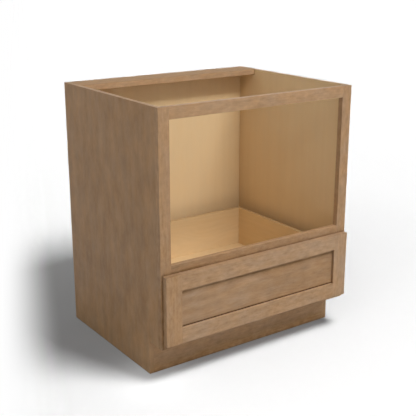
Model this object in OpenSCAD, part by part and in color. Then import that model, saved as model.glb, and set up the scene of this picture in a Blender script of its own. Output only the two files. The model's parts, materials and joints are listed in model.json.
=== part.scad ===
// A 30 inch framed microwave cabinet: an open box with a five-part face frame, an open bay for the
// oven, a toe space, and one deep drawer under the bay on ball-bearing side slides.
// Millimetres. +Z is up, the front faces -Y, and the origin is the middle of the footprint, on the floor.

/* [Cabinet] */
// Width over the side panels
cabinet_w = 762; // [610:0.1:914]
// Height from the floor to the top edges
cabinet_h = 876.3; // [840:0.1:914]
// Depth from the face of the frame to the back
cabinet_d = 609.6; // [590:0.1:660]

/* [Panels] */
// Thickness of the side panels
side_t = 15.9; // [12:0.1:19]
// Thickness of the back panel
back_t = 12.7; // [6:0.1:16]
// Depth of the step in each side panel that takes the back panel
back_rabbet = 9.5; // [6:0.1:11]
// Thickness of the bottom panel
deck_t = 12.7; // [9:0.1:19]
// Depth of the groove in each side panel that takes the bottom panel
deck_dado = 6.4; // [4:0.1:8]
// Width of the top rail at the back, which lies flat
rear_rail_w = 88.9; // [60:0.1:120]
// Thickness of the top rail at the back
rear_rail_t = 19; // [12:0.1:25]

/* [Toe space] */
// Height of the toe space
toe_h = 114.3; // [90:0.1:130]
// Depth of the toe space behind the face of the frame
toe_d = 76.2; // [50:0.1:100]
// Thickness of the toe board
toe_board_t = 12.7; // [6:0.1:19]

/* [Face frame] */
// Thickness of the face frame
frame_t = 19; // [17:0.1:25]
// Width of the two stiles
stile_w = 38.1; // [34:0.1:51]
// Width of the top rail
top_rail_w = 38.1; // [30:0.1:76]
// Width of the rail between the bay and the drawer
mid_rail_w = 38.1; // [30:0.1:51]
// Width of the bottom rail
bottom_rail_w = 38.1; // [30:0.1:51]
// Height of the opening for the drawer
drawer_opening_h = 196.8; // [185:0.1:230]
// Length of the tenons on the rails
tenon_l = 12.7; // [8:0.1:16]
// Thickness of the tenons on the rails
tenon_t = 6.4; // [4:0.1:8]
// Shoulder above and below each tenon
tenon_shoulder = 6; // [3:0.1:10]
// Length of the tongue that joins each side panel to its stile
tongue_l = 6.4; // [4:0.1:8]
// Thickness of that tongue
tongue_t = 6.4; // [4:0.1:8]
// Shoulder between the outer face and the tongue
tongue_shoulder = 5; // [3:0.1:5.5]
// Distance that the tongue stops short of the top and of the toe space
tongue_stop = 20; // [10:0.1:40]

/* [Drawer front] */
// Thickness of the drawer front's frame
front_t = 19; // [17:0.1:25]
// Gap between the closed drawer front and the face frame, held by the bumpers
front_gap = 2.4; // [1.5:0.1:4]
// Strip of each stile left bare beside the drawer front
front_reveal = 6.4; // [3:0.1:20]
// Overlap of the drawer front on the middle rail
front_lap_top = 12; // [8:0.1:14]
// Overlap of the drawer front on the bottom rail
front_lap_bottom = 22.9; // [12:0.1:28]
// Width of the drawer front's stiles
front_stile_w = 57.2; // [45:0.1:70]
// Width of the drawer front's rails
front_rail_w = 52.8; // [46:0.1:56]
// Thickness of the flat centre panel
panel_t = 6.4; // [4:0.1:7]
// Depth of the centre panel's face behind the frame's face
panel_recess = 9.8; // [5:0.1:11]
// Depth of the grooves that hold the centre panel
panel_groove = 6.4; // [5:0.1:7]
// Radius of the eased edges round the drawer front
front_ease = 1.6; // [0.5:0.1:3]
// Diameter of the rubber bumpers
bumper_d = 9.5; // [6:0.1:12]
// Distance of the bumpers from the drawer front's edges
bumper_inset = 9; // [7:0.1:14]
// Room between a bumper and the face frame
bumper_clear = 0.2; // [0.1:0.1:0.6]

/* [Drawer box] */
// Thickness of the four sides of the drawer box
box_t = 12.7; // [11:0.1:16]
// Height of the drawer box
box_h = 165.1; // [140:0.1:172]
// Length of the drawer box from front to back
box_l = 548; // [515:0.1:560]
// Height of the drawer box above the drawer opening's lower edge
box_lift = 6.4; // [4:0.1:10]
// Thickness of the drawer bottom
floor_t = 6.4; // [4:0.1:9]
// Height of the drawer bottom above the lower edges of the box
floor_lift = 9.5; // [9:0.1:16]
// Depth of the grooves that hold the drawer bottom
floor_groove = 6.4; // [4:0.1:8]
// Number of dovetail tails at each corner
tails = 5; // [3:1:7]
// Width of a dovetail pin at its narrow end
pin_w = 9; // [5:0.1:12]
// Slope of the dovetails, as width gained along the length
pin_slope = 0.16; // [0.1:0.01:0.2]

/* [Slides] */
// Length of each slide
slide_l = 508; // [457:1:510]
// Height of each slide
slide_h = 45.7; // [43:0.1:50]
// Thickness of each slide, which is the gap beside the drawer box
slide_t = 12.7; // [12.7:0.1:14]
// Distance from the drawer opening's lower edge to the slide's middle
slide_rise = 63.5; // [40:0.1:110]
// Distance from the face of the frame to the slide's front end
slide_setback = 2.5; // [1:0.1:6]
// Thickness of the slide's steel
steel_t = 1.2; // [1:0.1:1.3]
// Clearance between the layers of the slide
layer_clear = 0.3; // [0.2:0.05:0.35]
// Thickness of the ball cages
cage_t = 0.8; // [0.6:0.05:0.9]
// Diameter of the balls
ball_d = 4; // [3.5:0.1:4.2]
// Clearance round each ball
ball_clear = 0.1; // [0.05:0.01:0.15]
// Depth of the round grooves that the balls run in
race_depth = 0.6; // [0.4:0.05:0.7]
// Length of each ball cage
cage_l = 240; // [120:1:250]
// Distance from one ball to the next
ball_pitch = 32; // [20:1:60]
// Diameter of the holes in the middle member for a screwdriver
access_d = 10; // [8:0.1:12]
// Height of the stop that is bent square at the slide's rear end
stop_h = 22; // [12:0.1:26]
// Room between the rear stop and the moving members of a closed slide
stop_gap = 0.6; // [0.4:0.1:2]
// Length of the plastic release lever, from its pivot to its finger tab
lever_l = 80; // [60:0.1:88]
// Height of the release lever at its pivot
lever_h = 11; // [8:0.1:12]
// Thickness of the release lever
lever_t = 2.4; // [1.5:0.1:3]
// Distance that the finger tab hangs below the pivot
lever_drop = 5; // [2:0.1:6]

/* [Cleats and screws] */
// Height of the wooden cleats behind the slides
cleat_h = 57; // [50:0.1:76]
// Diameter of the screws' shanks
screw_d = 4; // [3:0.1:4.5]
// Diameter of the screws' flat heads
head_d = 7.6; // [6:0.1:8]
// Height of the screws' flat heads
head_h = 2.2; // [1.6:0.1:3]
// Length of the screws that hold the slides to the cabinet
cabinet_screw_l = 16; // [12:0.1:19]
// Length of the screws that hold the slides to the drawer box
drawer_screw_l = 12; // [9:0.1:12]
// Length of the screws that hold the cleats
cleat_screw_l = 32; // [26:0.1:34]
// Length of the screws that hold the drawer front
front_screw_l = 25; // [20:0.1:28]
// Distance of the drawer front's screws from the middle
front_screw_x = 220; // [120:1:240]
// Room round a screw in its hole
screw_clear = 0.05; // [0.02:0.01:0.1]

/* [Hidden] */

cut = 1;                      // how far a cut runs past the faces it opens
arc_fn = 48;                  // sides of round holes, heads and balls
ease_steps = 4;               // flats in each eased edge

// Cabinet, from the outside in
half_w = cabinet_w / 2;
side_x = half_w - side_t;                             // inner face of a side panel
frame_y = (front_gap + front_t - cabinet_d) / 2;      // face of the face frame
frame_back_y = frame_y + frame_t;
back_y = frame_y + cabinet_d;                         // rear face of the cabinet
back_face_y = back_y - back_t;                        // inner face of the back panel
toe_y = frame_y + toe_d;                              // face of the toe board
opening_x = half_w - stile_w;                         // edge of the frame's openings
opening_z = toe_h + bottom_rail_w;                    // lower edge of the drawer opening
opening_top_z = opening_z + drawer_opening_h;
deck_z = opening_z - deck_t;                          // underside of the bottom panel
tongue_x = half_w - tongue_shoulder - tongue_t;

// Drawer front
front_y = frame_y - front_gap - front_t;              // its face
front_back_y = front_y + front_t;
front_x = half_w - front_reveal;
front_z = opening_z - front_lap_bottom;
front_top_z = opening_top_z + front_lap_top;
front_inner_x = front_x - front_stile_w;              // inner edge of its stiles
panel_y = front_y + panel_recess;

// Drawer box
box_x = opening_x - slide_t;
box_back_y = front_back_y + box_l;
box_z = opening_z + box_lift;
box_top_z = box_z + box_h;
floor_z = box_z + floor_lift;

// Slides: u runs from the cabinet's side of the slide towards the drawer
slide_y = frame_y + slide_setback;
slide_end_y = slide_y + slide_l;
slide_z = opening_z + slide_rise;
outer_cage_u = steel_t + layer_clear;
middle_u = outer_cage_u + cage_t + layer_clear;
inner_cage_u = middle_u + steel_t + layer_clear;
inner_u = inner_cage_u + cage_t + layer_clear;
flange_end_u = slide_t - steel_t - layer_clear;       // free edges of the middle member's flanges
ball_r = ball_d / 2;
race_r = ball_r + ball_clear;
race_gap = 2 * (race_r - race_depth);                 // from flange to flange
outer_flange_w = slide_h / 2 - steel_t;               // inner face of the outer flange
middle_flange_w = outer_flange_w - race_gap;          // outer face of the middle flange
middle_inner_w = middle_flange_w - steel_t;
inner_flange_w = middle_inner_w - race_gap;           // outer face of the drawer member's flange
outer_ball_w = (outer_flange_w + middle_flange_w) / 2;
inner_ball_w = (middle_inner_w + inner_flange_w) / 2;
outer_ball_u = (middle_u + slide_t - steel_t - layer_clear) / 2;
inner_ball_u = (inner_u + slide_t - steel_t) / 2;
cage_reach = race_r + cage_t;                         // from a ball's middle to the cage's edge
cage_y = slide_y + (slide_l - cage_l) / 2;
ball_count = floor((cage_l - 2 * ball_d) / ball_pitch) + 1;
ball_y = cage_y + (cage_l - (ball_count - 1) * ball_pitch) / 2;
stop_y = slide_end_y + stop_gap;                      // front face of the rear stop
lever_y = slide_y + 0.62 * slide_l;                   // pivot of the release lever
lever_x = opening_x - slide_t + steel_t;              // face of the drawer member that carries it

// Screws: distances along the slide from its front end
cabinet_screw_ys = [for (s = [0.02, 0.3, 0.55, 0.93]) slide_y + s * slide_l];
drawer_screw_ys = [for (s = [0.07, 0.42, 0.8]) slide_y + s * slide_l];
cleat_ys = [for (s = [0.1, 0.5, 0.9]) frame_back_y + s * (back_face_y - frame_back_y)];
cleat_screw_off = head_d + 2;                         // above and below the slide's middle
front_screw_zs = [box_z + floor_lift / 2, front_top_z - front_rail_w + panel_groove + screw_d];

oak = "burlywood";
maple = "tan";
steel = "silver";

// A block from its low and high edge on each axis
module block(x, y, z) {
    translate([x[0], y[0], z[0]]) cube([x[1] - x[0], y[1] - y[0], z[1] - z[0]]);
}

// A flat section, drawn across the cabinet and upwards, run from one depth to another
module run_y(y) {
    translate([0, y[1], 0]) rotate([90, 0, 0]) linear_extrude(y[1] - y[0]) children();
}

// A flat section, drawn in depth and upwards, run from one width to another
module run_x(x) {
    translate([x[0], 0, 0]) rotate([90, 0, 90]) linear_extrude(x[1] - x[0]) children();
}

module left() {
    mirror([1, 0, 0]) children();
}

// A flat-head screw that points along +X, with its head's face at the origin
module screw(length, clear = 0) {
    rotate([0, 90, 0]) {
        cylinder(h = head_h, d1 = head_d + 2 * clear, d2 = screw_d + 2 * clear, $fn = arc_fn);
        cylinder(h = length + clear, d = screw_d + 2 * clear, $fn = arc_fn);
    }
}

// ---- Cabinet box ----

module side_panel() {
    color(oak) difference() {
        union() {
            block([side_x, half_w], [frame_back_y, back_y], [0, cabinet_h]);
            side_tongue(0);
        }
        block([side_x - cut, half_w + cut], [frame_back_y - cut, toe_y], [-cut, toe_h]);
        block([side_x - cut, side_x + deck_dado], [frame_back_y - cut, back_face_y], [deck_z, opening_z]);
        block([side_x - cut, side_x + back_rabbet], [back_face_y, back_y + cut], [-cut, cabinet_h + cut]);
        cleat_screw_set(screw_clear);
    }
}

// The tongue on a side panel's front edge, and the groove for it in the stile
module side_tongue(sink) {
    block([tongue_x, tongue_x + tongue_t], [frame_back_y - tongue_l, frame_back_y + sink],
        [toe_h + tongue_stop, cabinet_h - tongue_stop]);
}

module back_panel() {
    color(oak) block([-side_x - back_rabbet, side_x + back_rabbet], [back_face_y, back_y], [0, cabinet_h]);
}

module bottom_panel() {
    color(oak) block([-side_x - deck_dado, side_x + deck_dado], [frame_back_y, back_face_y],
        [deck_z, opening_z]);
}

module toe_board() {
    color(maple) block([-side_x, side_x], [toe_y, toe_y + toe_board_t], [0, deck_z]);
}

module rear_top_rail() {
    color(maple) block([-side_x, side_x], [back_face_y - rear_rail_w, back_face_y],
        [cabinet_h - rear_rail_t, cabinet_h]);
}

// ---- Face frame ----

// The three rails as [lower edge, upper edge]
top_span = [cabinet_h - top_rail_w, cabinet_h];
middle_span = [opening_top_z, opening_top_z + mid_rail_w];
bottom_span = [toe_h, opening_z];

module tenons(span) {
    y = frame_y + (frame_t - tenon_t) / 2;
    block([-opening_x - tenon_l, opening_x + tenon_l], [y, y + tenon_t],
        [span[0] + tenon_shoulder, span[1] - tenon_shoulder]);
}

module frame_rail(span) {
    color(maple) {
        block([-opening_x, opening_x], [frame_y, frame_back_y], span);
        tenons(span);
    }
}

module stile() {
    color(maple) difference() {
        block([opening_x, half_w], [frame_y, frame_back_y], [toe_h, cabinet_h]);
        for (span = [top_span, middle_span, bottom_span]) tenons(span);
        side_tongue(cut);
        cabinet_screw_set(screw_clear);
    }
}

// ---- Cleats ----

module cleat() {
    color(oak) difference() {
        block([opening_x, side_x], [frame_back_y, back_face_y],
            [slide_z - cleat_h / 2, slide_z + cleat_h / 2]);
        cleat_screw_set(screw_clear);
        cabinet_screw_set(screw_clear);
    }
}

module cleat_screw_set(clear = 0) {
    for (i = [0 : len(cleat_ys) - 1])
        translate([opening_x, cleat_ys[i], slide_z + (i % 2 == 0 ? 1 : -1) * cleat_screw_off])
            screw(cleat_screw_l, clear);
}

module cleat_screws() {
    color(steel) {
        cleat_screw_set();
        left() cleat_screw_set();
    }
}

// ---- Slides ----

// A slide's section point: u from the cabinet towards the drawer, w up from the slide's middle
function slide_point(u, w) = [opening_x - u, slide_z + w];

module bar(u, w) {
    a = slide_point(u[1], w[0]);
    translate(a) square([u[1] - u[0], w[1] - w[0]]);
}

module race(u, w) {
    translate(slide_point(u, w)) circle(race_r, $fn = arc_fn);
}

// A web with a flange above and below it
module channel(web, flange, w) {
    bar(web, [-w, w]);
    for (s = [-1, 1]) bar(flange, [min(s * w, s * (w - steel_t)), max(s * w, s * (w - steel_t))]);
}

module slide_outer() {
    lip_u = outer_ball_u + race_r;
    color(steel) {
        difference() {
            run_y([slide_y, slide_end_y]) difference() {
                channel([0, steel_t], [0, lip_u + steel_t], slide_h / 2);
                for (s = [-1, 1]) race(outer_ball_u, s * outer_ball_w);
            }
            cabinet_screw_set(screw_clear);
        }
        rear_stop();
    }
}

// The rear end of the outer member's web, narrowed and bent square: the moving members stop against it
module rear_stop() {
    run_y([slide_end_y - cut, stop_y + steel_t]) bar([0, steel_t], [-stop_h / 2, stop_h / 2]);
    run_y([stop_y, stop_y + steel_t]) bar([0, flange_end_u], [-stop_h / 2, stop_h / 2]);
}

module slide_middle() {
    color(steel) difference() {
        run_y([slide_y, slide_end_y]) difference() {
            channel([middle_u, middle_u + steel_t], [middle_u, flange_end_u], middle_flange_w);
            for (s = [-1, 1]) {
                race(outer_ball_u, s * outer_ball_w);
                race(inner_ball_u, s * inner_ball_w);
            }
        }
        for (y = cabinet_screw_ys)
            translate([opening_x - middle_u - steel_t - cut, y, slide_z])
                rotate([0, 90, 0]) cylinder(h = steel_t + 2 * cut, d = access_d, $fn = arc_fn);
    }
}

module slide_inner() {
    color(steel) difference() {
        run_y([slide_y, slide_end_y]) difference() {
            channel([slide_t - steel_t, slide_t], [inner_u, slide_t], inner_flange_w);
            for (s = [-1, 1]) race(inner_ball_u, s * inner_ball_w);
        }
        drawer_screw_set(screw_clear);
    }
}

// The lever that frees the drawer: an arm that turns on a headed pivot and dips to a finger tab in front
module release_lever() {
    elbow = [-0.55 * lever_l, 0];
    tip = [-lever_l, -lever_drop];
    color("dimgray") {
        run_x([lever_x, lever_x + lever_t]) translate([lever_y, slide_z]) {
            hull() {
                circle(d = lever_h, $fn = arc_fn);
                translate(elbow) circle(d = 0.6 * lever_h, $fn = arc_fn);
            }
            hull() {
                translate(elbow) circle(d = 0.6 * lever_h, $fn = arc_fn);
                translate(tip) circle(d = 0.8 * lever_h, $fn = arc_fn);
            }
        }
        translate([lever_x + lever_t, lever_y, slide_z]) rotate([0, 90, 0])
            cylinder(h = 0.4 * lever_t, d1 = 0.6 * lever_h, d2 = 0.5 * lever_h, $fn = arc_fn);
    }
}

// A ball cage: a strip behind the balls with a perforated lip above and below
module cage(strip_u, u, w) {
    color(steel) difference() {
        run_y([cage_y, cage_y + cage_l]) {
            bar([strip_u, strip_u + cage_t], [-w - cage_t / 2, w + cage_t / 2]);
            for (s = [-1, 1]) bar([strip_u, u + cage_reach], [s * w - cage_t / 2, s * w + cage_t / 2]);
        }
        for (i = [0 : ball_count - 1], s = [-1, 1])
            translate([opening_x - u, ball_y + i * ball_pitch, slide_z + s * w - cage_t])
                cylinder(h = 2 * cage_t, r = race_r, $fn = arc_fn);
    }
}

module balls(u, w) {
    color("gray") for (i = [0 : ball_count - 1], s = [-1, 1])
        translate([opening_x - u, ball_y + i * ball_pitch, slide_z + s * w])
            sphere(ball_r, $fn = arc_fn);
}

// Screws from the slide's outer member into the stile and the cleat
module cabinet_screw_set(clear = 0) {
    for (y = cabinet_screw_ys)
        translate([opening_x - steel_t, y, slide_z]) screw(cabinet_screw_l, clear);
}

module slide_screws_cabinet() {
    color(steel) {
        cabinet_screw_set();
        left() cabinet_screw_set();
    }
}

// Screws from the slide's drawer member into the side of the drawer box
module drawer_screw_set(clear = 0) {
    for (y = drawer_screw_ys)
        translate([opening_x - slide_t + steel_t, y, slide_z]) left() screw(drawer_screw_l, clear);
}

module slide_screws_drawer() {
    color(steel) {
        drawer_screw_set();
        left() drawer_screw_set();
    }
}

// ---- Drawer box ----

// The dovetail pins at one corner, in depth and height: narrow at the outer face, wide inside
module pin_outline() {
    pitch = box_h / tails;
    narrow = pin_w / 2;
    wide = narrow + pin_slope * box_t;
    for (i = [0 : tails]) {
        z = box_z + i * pitch;
        polygon([
            [0, max(z - narrow, box_z)], [0, min(z + narrow, box_top_z)],
            [box_t, min(z + wide, box_top_z)], [box_t, max(z - wide, box_z)]
        ]);
    }
}

module pins_front() {
    translate([front_back_y, 0]) pin_outline();
}

module pins_back() {
    translate([box_back_y, 0]) mirror([1, 0]) pin_outline();
}

module drawer_bottom_block() {
    x = box_x - box_t + floor_groove;
    inset = box_t - floor_groove;
    block([-x, x], [front_back_y + inset, box_back_y - inset], [floor_z, floor_z + floor_t]);
}

module box_side() {
    color(oak) difference() {
        run_x([box_x - box_t, box_x]) difference() {
            translate([front_back_y, box_z]) square([box_l, box_h]);
            pins_front();
            pins_back();
        }
        drawer_bottom_block();
        drawer_screw_set(screw_clear);
    }
}

// The front or back of the box: a board between the sides, with its pins through them
module box_end(y) {
    difference() {
        union() {
            block([-box_x + box_t, box_x - box_t], y, [box_z, box_top_z]);
            run_x([-box_x, box_x]) children();
        }
        drawer_bottom_block();
    }
}

module box_front() {
    color(oak) difference() {
        box_end([front_back_y, front_back_y + box_t]) pins_front();
        front_screw_set(screw_clear);
    }
}

module box_back() {
    color(oak) box_end([box_back_y - box_t, box_back_y]) pins_back();
}

module drawer_bottom() {
    color(oak) drawer_bottom_block();
}

// ---- Drawer front ----

// A section whose two front corners are eased, as [distance along, depth behind the face]
function eased_points(low, high, depth) =
    let (r = front_ease, turn = [for (i = [0 : ease_steps]) 90 * i / ease_steps])
    concat(
        [for (a = turn) [low + r - r * cos(a), r - r * sin(a)]],
        [for (a = turn) [high - r + r * sin(a), r - r * cos(a)]],
        [[high, depth], [low, depth]]
    );

// The whole drawer front before it is parted into its members
module front_blank() {
    intersection() {
        translate([0, front_y, front_z]) linear_extrude(front_top_z - front_z)
            polygon(eased_points(-front_x, front_x, front_t));
        run_x([-front_x, front_x]) translate([front_y, 0])
            polygon([for (p = eased_points(front_z, front_top_z, front_t)) [p[1], p[0]]]);
    }
}

module front_panel_block() {
    x = front_inner_x + panel_groove;
    z = front_rail_w - panel_groove;
    block([-x, x], [panel_y, panel_y + panel_t], [front_z + z, front_top_z - z]);
}

module front_stile() {
    color(maple) difference() {
        intersection() {
            front_blank();
            block([front_inner_x, front_x + cut], [front_y - cut, front_back_y + cut],
                [front_z - cut, front_top_z + cut]);
        }
        block([front_inner_x - cut, front_inner_x + panel_groove], [panel_y, panel_y + panel_t],
            [front_z - cut, front_top_z + cut]);
    }
}

// A rail between the stiles, with stub tenons in their grooves
module front_rail(z) {
    color(maple) difference() {
        union() {
            intersection() {
                front_blank();
                block([-front_inner_x, front_inner_x], [front_y - cut, front_back_y + cut], z);
            }
            block([-front_inner_x - panel_groove, front_inner_x + panel_groove],
                [panel_y, panel_y + panel_t], [max(z[0], front_z), min(z[1], front_top_z)]);
        }
        front_panel_block();
        front_screw_set(screw_clear);
    }
}

module front_panel() {
    color(maple) front_panel_block();
}

module front_screw_set(clear = 0) {
    for (x = [-front_screw_x, front_screw_x], z = front_screw_zs)
        translate([x, front_back_y + box_t, z]) rotate([0, 0, -90]) screw(front_screw_l, clear);
}

module front_screws() {
    color(steel) front_screw_set();
}

module bumpers() {
    x = front_x - bumper_inset;
    color("gainsboro") for (sx = [-x, x], z = [front_z + bumper_inset, front_top_z - bumper_inset])
        translate([sx, front_back_y, z]) rotate([-90, 0, 0])
            cylinder(h = front_gap - bumper_clear, d = bumper_d, $fn = arc_fn);
}

left() side_panel();  // left_side_panel
side_panel();  // right_side_panel
back_panel();
bottom_panel();
toe_board();
rear_top_rail();
left() stile();  // left_stile
stile();  // right_stile
frame_rail(top_span);  // top_rail
frame_rail(middle_span);  // middle_rail
frame_rail(bottom_span);  // bottom_rail
left() cleat();  // left_cleat
cleat();  // right_cleat
cleat_screws();
left() slide_outer();  // left_slide_outer
slide_outer();  // right_slide_outer
slide_screws_cabinet();
left() cage(outer_cage_u, outer_ball_u, outer_ball_w);  // left_outer_cage
cage(outer_cage_u, outer_ball_u, outer_ball_w);  // right_outer_cage
left() balls(outer_ball_u, outer_ball_w);  // left_outer_balls
balls(outer_ball_u, outer_ball_w);  // right_outer_balls
left() slide_middle();  // left_slide_middle
slide_middle();  // right_slide_middle
left() cage(inner_cage_u, inner_ball_u, inner_ball_w);  // left_inner_cage
cage(inner_cage_u, inner_ball_u, inner_ball_w);  // right_inner_cage
left() balls(inner_ball_u, inner_ball_w);  // left_inner_balls
balls(inner_ball_u, inner_ball_w);  // right_inner_balls
left() slide_inner();  // left_slide_inner
slide_inner();  // right_slide_inner
left() release_lever();  // left_release_lever
release_lever();  // right_release_lever
slide_screws_drawer();
left() box_side();  // box_left_side
box_side();  // box_right_side
box_front();
box_back();
drawer_bottom();
left() front_stile();  // front_left_stile
front_stile();  // front_right_stile
front_rail([front_top_z - front_rail_w, front_top_z + cut]);  // front_top_rail
front_rail([front_z - cut, front_z + front_rail_w]);  // front_bottom_rail
front_panel();
front_screws();
bumpers();
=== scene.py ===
"""A framed microwave cabinet in light brown stained maple, with one deep drawer on ball-bearing slides."""

import json
import math

import bmesh
import bpy
import numpy as np
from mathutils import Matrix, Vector


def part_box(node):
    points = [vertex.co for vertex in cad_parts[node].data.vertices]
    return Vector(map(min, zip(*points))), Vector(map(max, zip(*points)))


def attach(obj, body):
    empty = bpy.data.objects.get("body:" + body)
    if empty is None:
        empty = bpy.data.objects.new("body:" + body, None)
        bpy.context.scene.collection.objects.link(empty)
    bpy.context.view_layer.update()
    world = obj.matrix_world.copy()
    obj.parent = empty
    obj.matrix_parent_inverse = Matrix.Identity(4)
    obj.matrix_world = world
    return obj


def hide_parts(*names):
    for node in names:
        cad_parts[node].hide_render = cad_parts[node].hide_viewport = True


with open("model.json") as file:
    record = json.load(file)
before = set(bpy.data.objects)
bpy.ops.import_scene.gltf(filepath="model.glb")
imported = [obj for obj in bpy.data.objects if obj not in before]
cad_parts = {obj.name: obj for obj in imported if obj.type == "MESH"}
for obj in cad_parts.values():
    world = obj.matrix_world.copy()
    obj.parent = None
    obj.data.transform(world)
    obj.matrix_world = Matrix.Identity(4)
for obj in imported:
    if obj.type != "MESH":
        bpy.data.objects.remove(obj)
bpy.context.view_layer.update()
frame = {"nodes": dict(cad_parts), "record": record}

# ---- Camera ----
# Seen from the left and from above. Its place, turn and lens were fitted to the edges of the cabinet,
# which is 30 inches wide, 34.5 high and 24 deep.

camera_place = (-1.5800, -2.2603, 1.2831)
camera_turn = math.radians(-34.943)
camera_dip = math.radians(17.027)
camera_lens = 70.62
camera_reach = 200.0

camera = bpy.data.objects.new("camera", bpy.data.cameras.new("camera"))
camera.location = camera_place
camera.rotation_euler = (math.pi / 2 - camera_dip, 0, camera_turn)
camera.data.lens = camera_lens
camera.data.clip_end = camera_reach
bpy.context.scene.collection.objects.link(camera)
bpy.context.scene.camera = camera
bpy.context.scene.view_settings.view_transform = "Standard"


# ---- Floor and studio light ----
# A paper floor in an evenly lit room, which the camera and mirrors see as plain white. A wide soft key
# lamp lights the cabinet alone. Six lamps light the paper alone: one at the front right throws the
# shadow, one overhead softens it, and weak ones lighten it at the left, in the toe space and at a corner.

floor_half = 60.0
paper_seen = (0.16, 0.16, 0.16, 1)
paper_bounce = (0.091, 0.0898, 0.0885, 1)
room_white = (1, 1, 1, 1)
room_strength = 0.48
key_aim = Vector((0, 0, 0.45))
key_distance = 12.0
key_height = math.radians(46)
key_side = math.radians(8)
key_size = (6.8, 1.7)
key_light = 0.58
straight_down = math.radians(90)
paper_light, paper_lamp_place, paper_lamp_radius = 4.36, (0.39, -1.28, 2.68), 0.45
over_light, over_lamp_place, over_lamp_radius = 1.0, (0.16, -0.18, 1.12), 0.53
low_light = 0.69
low_lamp_height = math.radians(30)
low_lamp_side = math.radians(-60)
low_lamp_softness = math.radians(40)
toe_lamp_size = (0.70, 0.012)
toe_lamp_place = (0, -0.223, 0.05)
toe_lamp_power = 0.11
corner_lamp_size = 0.08
corner_lamp_places = ((-0.410, -0.275, 0.12), (-0.414, -0.177, 0.09))
corner_lights = (1.4, 0.72)
fade_normal = (-0.938, 0.384, 0)
fade_start = 0.534
fade_end = 0.767


def add(tree, kind, inputs=None, **settings):
    """Adds a shader node, sets its options, and fills its inputs with values or with links."""
    made = tree.nodes.new("ShaderNode" + kind)
    for key, value in settings.items():
        setattr(made, key, value)
    for key, value in (inputs or {}).items():
        if isinstance(value, bpy.types.NodeSocket):
            tree.links.new(value, made.inputs[key])
        else:
            made.inputs[key].default_value = value
    return made


def new_material(name):
    """A node material with only its output and a Principled shader, as (material, tree, shader)."""
    material = bpy.data.materials.new(name)
    material.use_nodes = True
    tree = material.node_tree
    return material, tree, tree.nodes["Principled BSDF"]


def seen_directly(tree):
    """1 for rays from the camera, a mirror or glass, and 0 for the rays that carry light."""
    path = add(tree, "LightPath")
    both = add(tree, "Math", {0: path.outputs["Is Camera Ray"], 1: path.outputs["Is Glossy Ray"]},
               operation="MAXIMUM")
    return add(tree, "Math", {0: both.outputs[0], 1: path.outputs["Is Transmission Ray"]},
               operation="MAXIMUM").outputs[0]


def pointing(height, side):
    """The direction that a lamp shines in, from its height and its angle to the right of the front."""
    level = math.cos(height)
    return Vector((-math.sin(side) * level, math.cos(side) * level, -math.sin(height)))


world = bpy.data.worlds.new("studio")
world.use_nodes = True
bpy.context.scene.world = world
room = world.node_tree
room.nodes.clear()
lit = add(room, "Background", {"Color": room_white, "Strength": room_strength})
shown = add(room, "Background", {"Color": room_white, "Strength": 1.0})
mixed = add(room, "MixShader", {0: seen_directly(room), 1: lit.outputs[0], 2: shown.outputs[0]})
add(room, "OutputWorld", {"Surface": mixed.outputs[0]})

floor_mesh = bpy.data.meshes.new("floor")
corners = [(x * floor_half, y * floor_half, 0) for x, y in ((-1, -1), (1, -1), (1, 1), (-1, 1))]
floor_mesh.from_pydata(corners, [], [(0, 1, 2, 3)])
floor = bpy.data.objects.new("floor", floor_mesh)
bpy.context.scene.collection.objects.link(floor)
paper, tree, shader = new_material("floor_paper")
seen = seen_directly(tree)
tint = add(tree, "Mix", {"Factor": seen, "A": paper_bounce, "B": paper_seen}, data_type="RGBA")
tree.links.new(tint.outputs["Result"], shader.inputs["Base Color"])
shader.inputs["Roughness"].default_value = 1.0
shader.inputs["Specular IOR Level"].default_value = 0.0

# Away from the cabinet the paper's shadow fades into plain white
place = add(tree, "TexCoord").outputs["Object"]
away = add(tree, "VectorMath", {0: place, 1: fade_normal}, operation="DOT_PRODUCT").outputs["Value"]
fade = add(tree, "MapRange", {"Value": away, "From Min": fade_start, "From Max": fade_end},
           interpolation_type="SMOOTHSTEP").outputs[0]
faded = add(tree, "Math", {0: fade, 1: seen}, operation="MULTIPLY").outputs[0]
plain = add(tree, "Emission", {"Color": room_white, "Strength": 1.0})
mixed = add(tree, "MixShader", {0: faded, 1: shader.outputs[0], 2: plain.outputs[0]})
tree.links.new(mixed.outputs[0], tree.nodes["Material Output"].inputs["Surface"])
floor_mesh.materials.append(paper)


def add_lamp(name, kind, height=0.0, side=0.0):
    """A lamp that the camera doesn't see, turned to shine from the given height and side."""
    lamp = bpy.data.objects.new(name, bpy.data.lights.new(name, kind))
    lamp.rotation_euler = pointing(height, side).to_track_quat("-Z", "Y").to_euler()
    lamp.visible_camera = False
    bpy.context.scene.collection.objects.link(lamp)
    return lamp


# A light of 1 makes a white surface that faces the lamp plain white, and the power follows from the distance
key = add_lamp("key_lamp", "AREA", key_height, key_side)
key.data.shape = "RECTANGLE"
key.data.size, key.data.size_y = key_size
key.data.energy = key_light * math.pi ** 2 * key_distance ** 2
key.location = key_aim - pointing(key_height, key_side) * key_distance


def add_even_lamp(name, light, place, radius):
    """A round lamp whose strength grows with the cube of the distance, which undoes its fall-off on the
    floor. Its power is divided by its height, so the floor gets the light given wherever the lamp
    hangs."""
    lamp = add_lamp(name, "POINT")
    lamp.location = place
    lamp.data.shadow_soft_size = radius
    lamp.data.energy = light * 4 * math.pi ** 2 / place[2]
    lamp.data.use_nodes = True
    tree = lamp.data.node_tree
    reach = add(tree, "LightPath").outputs["Ray Length"]
    even = add(tree, "Math", {0: reach, 1: 3.0}, operation="POWER").outputs[0]
    tree.links.new(even, tree.nodes["Emission"].inputs["Strength"])
    return lamp


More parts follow.
